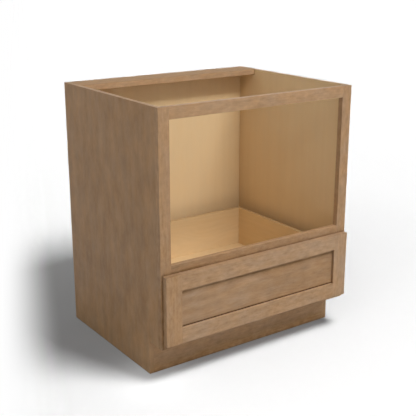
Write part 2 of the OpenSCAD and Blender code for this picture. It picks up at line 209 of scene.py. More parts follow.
paper_lamp = add_even_lamp("paper_lamp", paper_light, paper_lamp_place, paper_lamp_radius)
over_lamp = add_even_lamp("over_lamp", over_light, over_lamp_place, over_lamp_radius)
low_lamp = add_lamp("low_lamp", "SUN", low_lamp_height, low_lamp_side)
low_lamp.data.energy = low_light * math.pi / math.sin(low_lamp_height)
low_lamp.data.angle = low_lamp_softness

toe_lamp = add_lamp("toe_lamp", "AREA", straight_down)
toe_lamp.data.shape = "RECTANGLE"
toe_lamp.data.size, toe_lamp.data.size_y = toe_lamp_size
toe_lamp.data.energy = toe_lamp_power
toe_lamp.location = toe_lamp_place

paper_lamps = [paper_lamp, over_lamp, low_lamp, toe_lamp]
for number, (place, light) in enumerate(zip(corner_lamp_places, corner_lights), 1):
    lamp = add_lamp("corner_lamp_%d" % number, "AREA", straight_down)
    lamp.data.shape = "DISK"
    lamp.data.size = corner_lamp_size
    lamp.data.energy = light * math.pi ** 2 * place[2] ** 2
    lamp.location = place
    paper_lamps.append(lamp)

# The key lamp leaves the floor out, and each of the others lights nothing else
for lamp, state in [(key, "EXCLUDE")] + [(lamp, "INCLUDE") for lamp in paper_lamps]:
    lit_by = bpy.data.collections.new("lit_by_" + lamp.name)
    lit_by.objects.link(floor)
    lit_by.collection_objects[0].light_linking.link_state = state
    lamp.light_linking.receiver_collection = lit_by


# ---- Side panels ----
# Plywood sides, stained and lacquered outside and on the edges, clear-lacquered inside. Each stands on
# the floor, is notched for the toe space, and is grooved for the back and the bottom.

stain_dark = (0.277, 0.160, 0.079, 1)
stain_light = (0.482, 0.301, 0.167, 1)
side_dark = (0.253, 0.140, 0.063, 1)
side_light = (0.440, 0.263, 0.132, 1)
stain_grey = (0.955, 1.0, 1.09, 1)
stain_red = (1.045, 1.0, 0.91, 1)
clear_dark = (0.700, 0.505, 0.280, 1)
clear_light = (0.860, 0.655, 0.390, 1)
clear_pale = (0.985, 1.0, 1.03, 1)
clear_gold = (1.015, 1.0, 0.97, 1)
ring_frequency, ring_stretch = 950.0, (5, 22, 22)
depth_bend, depth_stretch = 0.09, (2.2, 7, 7)
side_bend, side_stretch = 0.05, (1.6, 5, 5)
streak_stretch, fleck_stretch = (0.33, 2.1, 2.1), (45, 330, 330)
hue_stretch, fibre_stretch = (14, 32, 32), (85, 2400, 2400)
rough_below, rough_above = 0.05, 0.07
pore_depth = 0.0002
lacquer_shine = 0.15
side_ease = 0.0006
ease_steps = 2
weld_gap, cut_gap = 1e-5, 1e-6
flat_angle = math.radians(0.5)
bevel_angle = math.radians(40)
smooth_angle = math.radians(32)
long_edge = 0.005
veneer_depth = 0.1
end_facing = 0.7
pith_reach = ((-40, 40), (-0.03, 0.03), (0.05, 0.12))


def grain_group():
    """Maple figure from the grain coordinates, which run along, across and through the board in metres.
    Tone is mottle plus streaks plus growth rings plus flecks, about 0. Hue is a slow noise about 0, and
    Fibre a fine long one about a half. Length and Width are the mottle's size, and the streaks are three
    times longer and half as wide."""
    tree = bpy.data.node_groups.new("maple_figure", "ShaderNodeTree")
    face = tree.interface
    face.new_socket("Grain", in_out="INPUT", socket_type="NodeSocketVector")
    for name in ("Length", "Width", "Mottle", "Streaks", "Rings", "Flecks"):
        face.new_socket(name, in_out="INPUT", socket_type="NodeSocketFloat")
    for name in ("Tone", "Hue", "Fibre"):
        face.new_socket(name, in_out="OUTPUT", socket_type="NodeSocketFloat")
    given = tree.nodes.new("NodeGroupInput")
    out = tree.nodes.new("NodeGroupOutput")
    grain = given.outputs["Grain"]
    size = add(tree, "CombineXYZ", {0: given.outputs["Length"], 1: given.outputs["Width"],
                                    2: given.outputs["Width"]}).outputs[0]
    figured = add(tree, "VectorMath", {0: grain, 1: size}, operation="DIVIDE").outputs[0]

    def maths(operation, a, b):
        return add(tree, "Math", {0: a, 1: b}, operation=operation).outputs[0]

    def noise(source, stretch, detail=2, rough=0.5):
        scaled = add(tree, "VectorMath", {0: source, 1: stretch}, operation="MULTIPLY")
        made = add(tree, "TexNoise", {"Vector": scaled.outputs[0], "Scale": 1.0, "Detail": detail,
                                      "Roughness": rough})
        return maths("SUBTRACT", made.outputs["Fac"], 0.5)

    # Growth rings: the distance from a pith, bent by slow noise, through a sine
    split = add(tree, "SeparateXYZ", {0: grain})
    depth_noise, side_noise = noise(grain, depth_stretch), noise(grain, side_stretch, detail=1)
    depth = maths("ADD", split.outputs[2], maths("MULTIPLY", depth_noise, depth_bend))
    side = maths("ADD", split.outputs[1], maths("MULTIPLY", side_noise, side_bend))
    squares = maths("ADD", maths("MULTIPLY", depth, depth), maths("MULTIPLY", side, side))
    radius = maths("POWER", squares, 0.5)
    wave = add(tree, "Math", {0: maths("MULTIPLY", radius, ring_frequency)}, operation="SINE").outputs[0]
    rings = maths("MULTIPLY", wave, maths("ADD", noise(grain, ring_stretch), 0.5))

    mottle = maths("MULTIPLY", noise(figured, (1, 1, 1), detail=4, rough=0.6), given.outputs["Mottle"])
    streaks = maths("MULTIPLY", noise(figured, streak_stretch), given.outputs["Streaks"])
    flecks = maths("MULTIPLY", noise(grain, fleck_stretch, detail=4, rough=0.65), given.outputs["Flecks"])
    tone = maths("ADD", maths("ADD", mottle, streaks),
                 maths("ADD", maths("MULTIPLY", rings, given.outputs["Rings"]), flecks))
    tree.links.new(tone, out.inputs["Tone"])
    tree.links.new(noise(grain, hue_stretch), out.inputs["Hue"])
    tree.links.new(maths("ADD", noise(grain, fibre_stretch, rough=0.6), 0.5), out.inputs["Fibre"])
    return tree


maple_figure = grain_group()


def maple(name, dark, light, cool, warm, figure, hue, roughness, pores):
    """Lacquered maple: the figure's tone picks between dark and light, its hue between a cool and a warm
    tint. The board attribute's first two numbers move the tone and the hue of a whole board or face, and
    the tone also carries painted light and shade. The fibre makes the gloss uneven about the roughness
    given, and its pores dent the surface."""
    material, tree, shader = new_material(name)
    grain = add(tree, "Attribute", attribute_name="grain", attribute_type="GEOMETRY").outputs["Vector"]
    board = add(tree, "Attribute", attribute_name="board", attribute_type="GEOMETRY").outputs["Vector"]
    board = add(tree, "SeparateXYZ", {0: board})
    look = add(tree, "Group", node_tree=maple_figure)
    tree.links.new(grain, look.inputs["Grain"])
    for key, value in figure.items():
        look.inputs[key].default_value = value
    tone = add(tree, "Math", {0: look.outputs["Tone"], 1: board.outputs[0]}, operation="ADD").outputs[0]
    tone = add(tree, "Math", {0: tone, 1: 0.5}, operation="ADD").outputs[0]
    base = add(tree, "Mix", {"Factor": tone, "A": dark, "B": light}, data_type="RGBA", clamp_factor=False)
    shift = add(tree, "Math", {0: look.outputs["Hue"], 1: hue}, operation="MULTIPLY").outputs[0]
    shift = add(tree, "Math", {0: shift, 1: board.outputs[1]}, operation="ADD").outputs[0]
    shift = add(tree, "Math", {0: shift, 1: 0.5}, operation="ADD").outputs[0]
    tint = add(tree, "Mix", {"Factor": shift, "A": cool, "B": warm}, data_type="RGBA", clamp_factor=False)
    colour = add(tree, "Mix", {"Factor": 1.0, "A": base.outputs["Result"], "B": tint.outputs["Result"]},
                 data_type="RGBA", blend_type="MULTIPLY", clamp_result=True)
    tree.links.new(colour.outputs["Result"], shader.inputs["Base Color"])
    rough = add(tree, "MapRange", {"Value": look.outputs["Fibre"], "To Min": roughness - rough_below,
                                   "To Max": roughness + rough_above})
    tree.links.new(rough.outputs[0], shader.inputs["Roughness"])
    bump = add(tree, "Bump", {"Height": look.outputs["Fibre"], "Strength": pores, "Distance": pore_depth})
    tree.links.new(bump.outputs[0], shader.inputs["Normal"])
    shader.inputs["Specular IOR Level"].default_value = lacquer_shine
    return material


side_veneer = maple("stained_side_veneer", side_dark, side_light, stain_grey, stain_red,
                    {"Length": 0.090, "Width": 0.050, "Mottle": 1.35, "Streaks": 0.5, "Rings": 0.0,
                     "Flecks": 0.75}, hue=2.0, roughness=0.47, pores=0.12)
clear_veneer = maple("clear_veneer", clear_dark, clear_light, clear_pale, clear_gold,
                     {"Length": 0.30, "Width": 0.05, "Mottle": 0.30, "Streaks": 0.2, "Rings": 0.0,
                      "Flecks": 0.2}, hue=1.2, roughness=0.44, pores=0.1)

pith_rng = np.random.default_rng(7)


def eased_copy(node, name, ease, cuts=()):
    """A CAD node's triangles merged into flat faces, with a small bevel on its long outer edges, and cut
    along planes, each given as the number of an axis and a place along it."""
    shape = bmesh.new()
    shape.from_mesh(frame["nodes"][node].data)
    bmesh.ops.remove_doubles(shape, verts=shape.verts, dist=weld_gap)
    bmesh.ops.dissolve_limit(shape, angle_limit=flat_angle, verts=shape.verts, edges=shape.edges)
    if ease:
        sharp = [edge for edge in shape.edges if edge.is_manifold and edge.calc_length() > long_edge
                 and edge.calc_face_angle_signed() > bevel_angle]
        bmesh.ops.bevel(shape, geom=sharp, offset=ease, segments=ease_steps, profile=0.5, affect="EDGES",
                        clamp_overlap=True)
    for axis, place in cuts:
        normal = [float(axis == i) for i in range(3)]
        bmesh.ops.bisect_plane(shape, geom=shape.verts[:] + shape.edges[:] + shape.faces[:], dist=cut_gap,
                               plane_co=[n * place for n in normal], plane_no=normal)
    mesh = bpy.data.meshes.new(name)
    shape.to_mesh(mesh)
    shape.free()
    mesh.shade_smooth()
    mesh.set_sharp_from_angle(angle=smooth_angle)
    return mesh


def place_piece(name, mesh, slot, *nodes):
    """Puts a finished mesh in the scene, in place of its CAD nodes and on their body."""
    piece = bpy.data.objects.new(name, mesh)
    bpy.context.scene.collection.objects.link(piece)
    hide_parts(*nodes)
    for body, members in frame["record"]["behaviour"]["bodies"].items():
        if nodes[0] in members:
            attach(piece, body)
    return piece


def box(node):
    """A CAD node's box, as its low corner and its high corner."""
    low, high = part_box(node)
    return np.array(low, float), np.array(high, float)


def wooden(node, axes, ease, slot, finishes, tone=0.0, slope=0.0, hue=0.0, hue_slope=0.0, veneer=False,
           end_grain=0.3, second=None, shade=None, cuts=()):
    """A wooden part from its CAD node. The grain attribute holds the distances along, across and through
    the board, which the letters of axes name in that order, from a pith picked for it. The board
    attribute holds its tone and its hue, which rise by their slopes from the middle to one end. End grain
    has a lower tone, and a veneer's figure hardly changes with depth. shade(points, normals) adds painted
    light and shade to the tone at each corner, and second(points, normals) picks the faces that take the
    second finish."""
    order = ["XYZ".index(letter) for letter in axes]
    mesh = eased_copy(node, node + "_wood", ease, cuts=cuts)
    for finish in finishes:
        mesh.materials.append(finish)
    count = np.empty(len(mesh.polygons), np.int32)
    corner = np.empty(len(mesh.loops), np.int32)
    middles = np.empty((len(mesh.polygons), 3), np.float32)
    normals = np.empty((len(mesh.polygons), 3), np.float32)
    spots = np.empty((len(mesh.vertices), 3), np.float32)
    mesh.polygons.foreach_get("loop_total", count)
    mesh.loops.foreach_get("vertex_index", corner)
    mesh.polygons.foreach_get("center", middles.ravel())
    mesh.polygons.foreach_get("normal", normals.ravel())
    mesh.vertices.foreach_get("co", spots.ravel())
    if second:
        mesh.polygons.foreach_set("material_index", second(middles, normals).astype(np.int32))
    points = spots[:, order]
    points = points - (points.min(0) + points.max(0)) / 2
    run = points[corner, 0] / np.abs(points[:, 0]).max()
    if veneer:
        points[:, 2] *= veneer_depth
    pith = np.array([pith_rng.uniform(*reach) for reach in pith_reach])
    mesh.attributes.new("grain", "FLOAT_VECTOR", "POINT").data.foreach_set(
        "vector", (points + pith).astype(np.float32).ravel())
    board = np.zeros((len(corner), 3), np.float32)
    ends = np.abs(normals[:, order[0]]) > end_facing
    board[:, 0] = tone + slope * run - np.repeat(end_grain * ends, count)
    board[:, 1] = hue + hue_slope * run
    if shade:
        board[:, 0] += shade(spots[corner], np.repeat(normals, count, 0))
    mesh.attributes.new("board", "FLOAT_VECTOR", "CORNER").data.foreach_set("vector", board.ravel())
    piece = place_piece(node + "_wood", mesh, slot, node)
    weighted = piece.modifiers.new("even_shading", "WEIGHTED_NORMAL")
    weighted.keep_sharp = True


def looks_inwards(points, normals):
    """The faces of a side panel that look into the cabinet."""
    return (normals[:, 0] * points[:, 0] < 0) & (np.abs(normals[:, 0]) > 0.5)


def looks_up(points, normals):
    """The faces that look up."""
    return normals[:, 2] > 0.5


def looks_forwards(points, normals):
    """The faces that look forwards."""
    return normals[:, 1] < -0.5


# Painted light and shade on the sides: by height outside and at the notch, and shade in places inside
side_heights = (0.0, 0.004, 0.05, 0.127, 0.2, 0.45, 0.88)
outer_painted_tones = (-0.6, 0.45, 0.45, 0.15, 0.0, 0.0, 0.12)
notch_heights, notch_painted_tones = (0.0, 0.004, 0.04, 0.07, 0.114), (-1.0, -0.55, 0.3, 0.55, 0.55)
front_reach, front_painted_light = 0.085, 0.12
rail_line_painted_shade, rail_line_width = -1.8, 0.006
corner_offs, corner_painted_shade = (0.0, 0.012, 0.04, 0.1), (-0.45, -0.38, -0.2, 0.0)
slide_heights, low_inside_painted_shade = (0.320, 0.355), (-0.25, 0.0)
rail_front_y, rail_under_z = box("rear_top_rail")[0][1:]
back_face_y = box("back_panel")[0][1]
side_front_y = box("right_side_panel")[0][1]


def side_painted_shading(points, normals):
    """Painted light and shade on the side. Outside, by height: a painted contact shade at the floor, and
    painted light just above it, towards the top and near the front. The front edge in the toe space has
    painted shade low down and painted light higher up, by heights of its own. Inside: a painted shade line
    round the rear rail, and painted shade low down and in the corner at the back."""
    outside = np.interp(points[:, 2], side_heights, outer_painted_tones) + np.clip(
        1 - (points[:, 1] - side_front_y) / front_reach, 0, 1) * front_painted_light
    notch = np.interp(points[:, 2], notch_heights, notch_painted_tones)
    off = np.maximum(rail_front_y - points[:, 1], rail_under_z - points[:, 2])
    inside = (rail_line_painted_shade * np.clip(1 - off / rail_line_width, 0, 1)
              + np.interp(back_face_y - points[:, 1], corner_offs, corner_painted_shade)
              + np.interp(points[:, 2], slide_heights, low_inside_painted_shade))
    stained = np.where(looks_forwards(points, normals), notch, outside)
    return np.where(looks_inwards(points, normals), inside, stained)


side_cuts = [(2, height) for height in sorted(set(side_heights[1:-1] + notch_heights[1:4] + slide_heights))]
side_cuts += [(1, rail_front_y - off) for off in (0, rail_line_width)]
side_cuts += [(2, rail_under_z - off) for off in (0, rail_line_width)]
side_cuts += [(1, side_front_y + front_reach)] + [(1, back_face_y - off) for off in corner_offs[1:]]
for side in ("left", "right"):
    wooden(side + "_side_panel", "ZYX", side_ease, "stained_maple", (side_veneer, clear_veneer),
           veneer=True, end_grain=0.0, hue=-0.12, second=looks_inwards, shade=side_painted_shading, cuts=side_cuts)


# ---- Back and bottom panels ----
# Clear-lacquered plywood. The back sits in the steps of the sides, with its top edge stained like theirs,
# and the bottom sits in their grooves.

# Painted shade in the back's corners and a painted shadow under the rear rail
back_offs, back_painted_shade_tones = (0.0, 0.01, 0.06, 0.15), (-0.6, -0.4, -0.22, 0.0)
under_rail_heights, under_rail_painted_shadow = (0.72, 0.75, 0.83), (0.0, -0.22, -0.1)
side_inner_x = box("right_cleat")[1][0]


def back_painted_shading(points, normals):
    """Painted shade on the back: darker near the sides, and a painted shadow under the rear rail."""
    return (np.interp(side_inner_x - np.abs(points[:, 0]), back_offs, back_painted_shade_tones)
            + np.interp(points[:, 2], under_rail_heights, under_rail_painted_shadow))


back_cuts = [(0, sign * (side_inner_x - off)) for sign in (-1, 1) for off in back_offs]
back_cuts += [(2, height) for height in under_rail_heights]
wooden("back_panel", "ZXY", side_ease, "natural_maple", (clear_veneer, side_veneer), veneer=True,
       end_grain=0.0, tone=0.08, second=looks_up, shade=back_painted_shading, cuts=back_cuts)
wooden("bottom_panel", "XYZ", side_ease, "natural_maple", (clear_veneer,), veneer=True, end_grain=0.0)


# ---- Toe board and rear top rail ----
# The stained board across the toe space, and the flat rail at the back that a countertop is screwed to.
# The board has painted shade low down and painted light higher up. The rail has painted shade on its top,
# in a warmer and darker copy of the frame maple, and painted light on its front.

frame_figure = {"Length": 0.025, "Width": 0.014, "Mottle": 1.3, "Streaks": 0.6, "Rings": 0.06,
                "Flecks": 0.55}
# A warmer, darker copy of the frame maple for the rail's top, which paints shade there
rail_top_shaded_dark = (0.280, 0.136, 0.030, 1)
rail_top_shaded_light = (0.487, 0.257, 0.075, 1)
frame_maple = maple("stained_frame_maple", stain_dark, stain_light, stain_grey, stain_red,
                    frame_figure, hue=1.9, roughness=0.46, pores=0.12)
rail_top_shaded_maple = maple("rail_top_painted_shade_maple", rail_top_shaded_dark, rail_top_shaded_light, stain_grey, stain_red,
                       frame_figure, hue=1.9, roughness=0.46, pores=0.12)

# Painted shade and light on the toe board by height, and on the rail's top and front
toe_heights, toe_painted_tones = (0.0, 0.004, 0.05), (-1.1, -0.7, 0.4)
rail_top_painted_shade = -0.4
rail_front_painted_light = 0.33


def toe_painted_shading(points, normals):
    """Painted shade low on the toe board and painted light higher up, by height."""
    return np.interp(points[:, 2], toe_heights, toe_painted_tones)


def rail_painted_shading(points, normals):
    """Painted shade on the faces that look up, and painted light on those that look forwards."""
    return rail_top_painted_shade * looks_up(points, normals) + rail_front_painted_light * looks_forwards(points, normals)


wooden("toe_board", "XZY", side_ease, "stained_maple", (frame_maple,), hue=0.25, hue_slope=0.1,
       shade=toe_painted_shading, cuts=[(2, height) for height in toe_heights[1:]])
wooden("rear_top_rail", "XYZ", side_ease, "stained_maple", (frame_maple, rail_top_shaded_maple), second=looks_up,
       shade=rail_painted_shading)


# ---- Face frame ----
# Solid stained maple, two stiles and three rails with hidden tenons, sanded flush and eased by hand.
# Painted shadow round the drawer front, and painted light on the middle rail's top.

frame_ease = 0.0007
# Painted shadow round the drawer front, and painted light on the middle rail's top
gap_offs, gap_painted_shadow = (-0.003, 0.0, 0.0075), (0.0, 0.5, 0.0)
rail_ledge_painted_light, rail_ledge_reach = 0.45, 0.1
cover_x, cover_high = box("front_right_stile")[1][[0, 2]]


def gap_painted_shading(points, normals):
    """A painted shadow round the drawer front, darkest along its edge and fading to both sides, and painted
    light on the middle rail's top."""
    off = np.maximum(np.abs(points[:, 0]) - cover_x, points[:, 2] - cover_high)
    return (rail_ledge_painted_light * looks_up(points, normals) * (points[:, 2] < cover_high + rail_ledge_reach)
            - np.interp(off, gap_offs, gap_painted_shadow) * looks_forwards(points, normals))


gap_side_cuts = [(0, sign * (cover_x + off)) for sign in (-1, 1) for off in gap_offs[:2]]
gap_top_cuts = [(2, cover_high + off) for off in gap_offs]
for side, tone, slope in (("left", -0.06, 0.2), ("right", 0.06, 0.0)):
    wooden(side + "_stile", "ZXY", frame_ease, "stained_maple", (frame_maple,), tone=tone, slope=slope,
           shade=gap_painted_shading, cuts=gap_side_cuts + gap_top_cuts)
for rail, tone, slope in (("top", 0.16, 0.02), ("middle", -0.15, 0.15), ("bottom", 0.0, 0.0)):
    wooden(rail + "_rail", "XZY", frame_ease, "stained_maple", (frame_maple,), tone=tone, slope=slope,
           shade=gap_painted_shading, cuts=gap_top_cuts)


# ---- Cleats ----
# Clear-lacquered maple blocks, screwed to the sides. They fill out to the frame's opening, so the slides
# have something to screw to.

clear_maple = maple("clear_maple", clear_dark, clear_light, clear_pale, clear_gold,
                    {"Length": 0.16, "Width": 0.035, "Mottle": 0.3, "Streaks": 0.35, "Rings": 0.08,
                     "Flecks": 0.2}, hue=1.5, roughness=0.44, pores=0.1)
cleat_ease = 0.0008
for side in ("left", "right"):
    wooden(side + "_cleat", "YZX", cleat_ease, "natural_maple", (clear_maple,))


# ---- Cleat screws ----
# Flat-head wood screws of bright steel, with a pressed cross recess and a rolled thread. Three go through
# each cleat into the side panel.

head_radius, head_height, shank_radius, core_radius = 0.0038, 0.0022, 0.002, 0.00145
head_rings = (0, 0.0003, 0.0005, 0.0009, 0.0014, 0.0019, 0.0022, 0.0030, 0.0037)
head_rim = 0.0001
thread_pitch = 0.0024
thread_plain = 0.0015
thread_start, thread_end = 0.0004, 0.0002
ridge_half = 0.28
tip_length, tip_blunt = 0.003, 0.06
recess_depth, recess_reach, recess_half = 0.0013, 0.0021, 0.00045
recess_edge, recess_wall, recess_slope = 1.3, 0.5, 1.25
screw_sides, rows_per_turn = 32, 6
cleat_screw_shares = (0.1, 0.5, 0.9)


def plain_material(name, values):
    """A material that is the same all over, from the values of its shader's inputs."""
    material, shader = new_material(name)[::2]
    for key, value in values.items():
        shader.inputs[key].default_value = value
    return material


screw_steel = plain_material("bright_screw_steel", {"Base Color": (0.56, 0.55, 0.53, 1), "Metallic": 1.0,
                                                    "Roughness": 0.3})


def grid_mesh(name, grids, finish):
    """A mesh from closed tubes, given as an array of tubes by rows by columns by 3. The columns join up
    round the tube. The first and last row of each tube are single points, which the faces beside them fan
    out from."""
    tubes, rows, columns = grids.shape[:3]
    body = grids[:, 1:-1].reshape(tubes, -1, 3)
    ends = np.stack([grids[:, 0, 0], grids[:, -1, 0]], 1)
    points = np.concatenate([body, ends], 1)
    ring = (rows - 2) * columns
    row, column = np.meshgrid(np.arange(rows - 3), np.arange(columns), indexing="ij")
    beside = (column + 1) % columns
    quads = np.stack([row * columns + column, (row + 1) * columns + column, (row + 1) * columns + beside,
                      row * columns + beside], -1).reshape(-1, 4)
    around = np.arange(columns)
    following = (around + 1) % columns
    first = np.stack([np.full(columns, ring), around, following], -1)
    last = np.stack([np.full(columns, ring + 1), ring - columns + following, ring - columns + around], -1)
    start = np.arange(tubes)[:, None, None] * points.shape[1]
    mesh = bpy.data.meshes.new(name)
    mesh.from_pydata(points.reshape(-1, 3), [], (quads[None] + start).reshape(-1, 4).tolist()
                     + (np.concatenate([first, last])[None] + start).reshape(-1, 3).tolist())
    shape = bmesh.new()
    shape.from_mesh(mesh)
    bmesh.ops.recalc_face_normals(shape, faces=shape.faces)
    shape.to_mesh(mesh)
    shape.free()
    mesh.shade_smooth()
    mesh.set_sharp_from_angle(angle=smooth_angle)
    mesh.materials.append(finish)
    return mesh


def screw_grid(length):
    """One screw along +X with its head's face at 0, as rows by columns by 3. On the head, the depth is
    the recess, which is deepest in the middle and falls to 0 at the ends of a cross. On the shank, the
    radius is the core plus a ridge that turns once round in each pitch, and it closes to a point at the
    tip."""
    turn = np.linspace(0, 2 * np.pi, screw_sides, endpoint=False)
    radius, angle = np.meshgrid(head_rings, turn, indexing="ij")
    aside, up = np.abs(radius * np.cos(angle)), np.abs(radius * np.sin(angle))
    wall = (recess_half * recess_edge - np.minimum(aside, up)) / (recess_half * recess_wall)
    sink = recess_slope * (1 - np.maximum(aside, up) / recess_reach)
    face = recess_depth * np.clip(wall, 0, 1) * np.clip(sink, 0, 1)
    head = np.stack([face, radius], -1)
    neck = head_height + thread_plain
    edge = np.array([[head_rim, head_radius], [head_height, shank_radius], [neck, shank_radius]])
    steps = int((length - head_height - thread_plain) / thread_pitch * rows_per_turn)
    along = np.linspace(neck + thread_start, length - thread_end, steps)
    x, angle = np.meshgrid(along, turn, indexing="ij")
    phase = (x / thread_pitch - angle / (2 * np.pi)) % 1
    ridge = np.clip(1 - np.abs(phase - 0.5) / ridge_half, 0, 1)
    tip = np.clip((length - x) / tip_length, tip_blunt, 1)
    thread = np.stack([x, (core_radius + (shank_radius - core_radius) * ridge) * tip], -1)
    point = np.array([[length, 0.0]])
    profile = np.concatenate([head, np.repeat(edge[:, None], screw_sides, 1), thread,
                              np.repeat(point[:, None], screw_sides, 1)], 0)
    return np.stack([profile[..., 0], profile[..., 1] * np.cos(turn), profile[..., 1] * np.sin(turn)], -1)


def screws(node, length, heads, towards):
    """Screws with their heads' faces at the given points. Each points along the axis given, to its high
    side where the sign is 1 and to its low side where the sign is -1."""
    local = screw_grid(length)
    grids = np.empty((len(heads),) + local.shape)
    for number, (head, (axis, sign)) in enumerate(zip(heads, towards)):
        across = [i for i in range(3) if i != axis]
        grids[number, ..., axis] = head[axis] + sign * local[..., 0]
        grids[number, ..., across[0]] = head[across[0]] + local[..., 1]
        grids[number, ..., across[1]] = head[across[1]] + local[..., 2]
    place_piece(node + "_driven", grid_mesh(node + "_driven", grids, screw_steel), "screw_steel", node)


cleat_low, cleat_high = box("right_cleat")
screw_low, screw_high = box("cleat_screws")
cleat_screw_x = cleat_low[0]
cleat_screw_length = screw_high[0] - cleat_low[0]
cleat_middle = (cleat_low[2] + cleat_high[2]) / 2
cleat_offset = (screw_high[2] - screw_low[2]) / 2 - head_radius
cleat_depth = cleat_high[1] - cleat_low[1]
heads, towards = [], []
for sign in (-1, 1):
    for number, share in enumerate(cleat_screw_shares):
        heads.append((sign * cleat_screw_x, cleat_low[1] + share * cleat_depth,
                      cleat_middle + (cleat_offset if number % 2 == 0 else -cleat_offset)))
        towards.append((0, sign))
screws("cleat_screws", cleat_screw_length, heads, towards)


# ---- Slides ----
# Zinc-plated folded steel in three members, with polished balls in thin cages between them. The outer
# member is screwed to the stile and the cleat, and the inner one to the drawer box.

fold_radius = 0.0005
steel_thickness = 0.0012
ball_radius = 0.002
ball_rows, ball_sides = 13, 16
balls_in_row = 8
cabinet_screw_shares = (0.02, 0.3, 0.55, 0.93)
drawer_screw_shares = (0.07, 0.42, 0.8)
drawer_screw_length = 0.012

zinc_steel = plain_material("zinc_plated_steel", {"Base Color": (0.60, 0.61, 0.62, 1), "Metallic": 1.0})
ball_steel = plain_material("polished_ball_steel", {"Base Color": (0.72, 0.72, 0.73, 1), "Metallic": 1.0,
                                                    "Roughness": 0.08})


def uneven_gloss(material, scale, detail, low, high):
    """Lets a noise move a material's roughness between a low and a high value, and gives the noise."""
    tree = material.node_tree
    cloud = add(tree, "TexNoise", {"Vector": add(tree, "TexCoord").outputs["Object"], "Scale": scale,
                                   "Detail": detail})
    rough = add(tree, "MapRange", {"Value": cloud.outputs["Fac"], "To Min": low, "To Max": high})
    tree.links.new(rough.outputs[0], tree.nodes["Principled BSDF"].inputs["Roughness"])
    return cloud.outputs["Fac"]


def shaped_piece(node, ending, ease, finish, slot):
    """A part of one finish from its CAD node, with its long outer edges eased."""
    mesh = eased_copy(node, node + ending, ease)
    mesh.materials.append(finish)
    place_piece(node + ending, mesh, slot, node)


uneven_gloss(zinc_steel, scale=90.0, detail=3.0, low=0.24, high=0.44)
for side in ("left", "right"):
    for member in ("outer", "middle", "inner"):
        shaped_piece(side + "_slide_" + member, "_folded", fold_radius, zinc_steel, "zinc_steel")
    for layer in ("outer", "inner"):
        shaped_piece(side + "_" + layer + "_cage", "_pressed", 0, zinc_steel, "zinc_steel")


def ball_grids(centres):
    """Balls as a grid of latitude by longitude about each centre."""
    latitude = np.linspace(0, np.pi, ball_rows)
    longitude = np.linspace(0, 2 * np.pi, ball_sides, endpoint=False)
    rise, turn = np.meshgrid(latitude, longitude, indexing="ij")
    unit = np.stack([np.sin(rise) * np.cos(turn), np.sin(rise) * np.sin(turn), np.cos(rise)], -1)
    return centres[:, None, None] + ball_radius * unit


for side in ("left", "right"):
    for layer in ("outer", "inner"):
        node = side + "_" + layer + "_balls"
        low, high = box(node)
        middle_x = (low[0] + high[0]) / 2
        ys = np.linspace(low[1] + ball_radius, high[1] - ball_radius, balls_in_row)
        zs = (low[2] + ball_radius, high[2] - ball_radius)
        centres = np.array([(middle_x, y, z) for z in zs for y in ys])
        place_piece(node + "_polished", grid_mesh(node + "_polished", ball_grids(centres), ball_steel),
                    "ball_steel", node)

outer_low, outer_high = box("right_slide_outer")
inner_low, inner_high = box("right_slide_inner")
slide_length = inner_high[1] - inner_low[1]
slide_middle = (outer_low[2] + outer_high[2]) / 2
cabinet_head = outer_high[0] - steel_thickness
cabinet_screw_length = box("slide_screws_cabinet")[1][0] - cabinet_head
drawer_head = inner_low[0] + steel_thickness


def slide_screws(node, length, head_x, low_y, shares, way):
    """Screws in both slides, at shares of the slides' length from its front end. They point outwards
    where way is 1 and inwards where it is -1."""
    both = [(sign, share) for sign in (-1, 1) for share in shares]
    heads = [(sign * head_x, low_y + share * slide_length, slide_middle) for sign, share in both]
    screws(node, length, heads, [(0, way * sign) for sign, share in both])


slide_screws("slide_screws_cabinet", cabinet_screw_length, cabinet_head, outer_low[1],
             cabinet_screw_shares, way=1)
slide_screws("slide_screws_drawer", drawer_screw_length, drawer_head, inner_low[1],
             drawer_screw_shares, way=-1)


# ---- Release levers ----
# Levers moulded in black plastic, on pivots in the drawer's slide members. Pressed, they let the drawer
# come off its slides.

lever_ease = 0.0004
grit_depth = 0.0001

black_plastic = plain_material("black_moulded_plastic", {"Base Color": (0.022, 0.022, 0.023, 1)})
tree = black_plastic.node_tree
grit = uneven_gloss(black_plastic, scale=2600.0, detail=2.0, low=0.38, high=0.58)
bump = add(tree, "Bump", {"Height": grit, "Strength": 0.25, "Distance": grit_depth})
tree.links.new(bump.outputs[0], tree.nodes["Principled BSDF"].inputs["Normal"])
for side in ("left", "right"):
    shaped_piece(side + "_release_lever", "_moulded", lever_ease, black_plastic, "black_plastic")


# ---- Drawer box ----
# Four boards of clear-lacquered maple, dovetailed at the corners, with a thin plywood bottom held in
# grooves. The slides' drawer members are screwed to its sides.

box_ease = 0.0005
# Painted shade on the drawer box's top edges
box_top_painted_shade = -1.0


def box_top_shading(points, normals):
    """Painted shade on the top edges."""
    return box_top_painted_shade * looks_up(points, normals)


for board, axes, tone in (("left_side", "YZX", -0.25), ("right_side", "YZX", -0.25),
                          ("front", "XZY", -0.05), ("back", "XZY", -0.05)):
    wooden("box_" + board, axes, box_ease, "natural_maple", (clear_maple,), tone=tone, shade=box_top_shading)
wooden("drawer_bottom", "XYZ", box_ease, "natural_maple", (clear_veneer,), veneer=True, end_grain=0.0,
       tone=0.1)


# ---- Drawer front ----
# Five parts of stained maple: two stiles, two rails, and a flat veneered panel in their grooves. Painted
# shade lies where the panel meets the frame.

front_ease = 0.00025
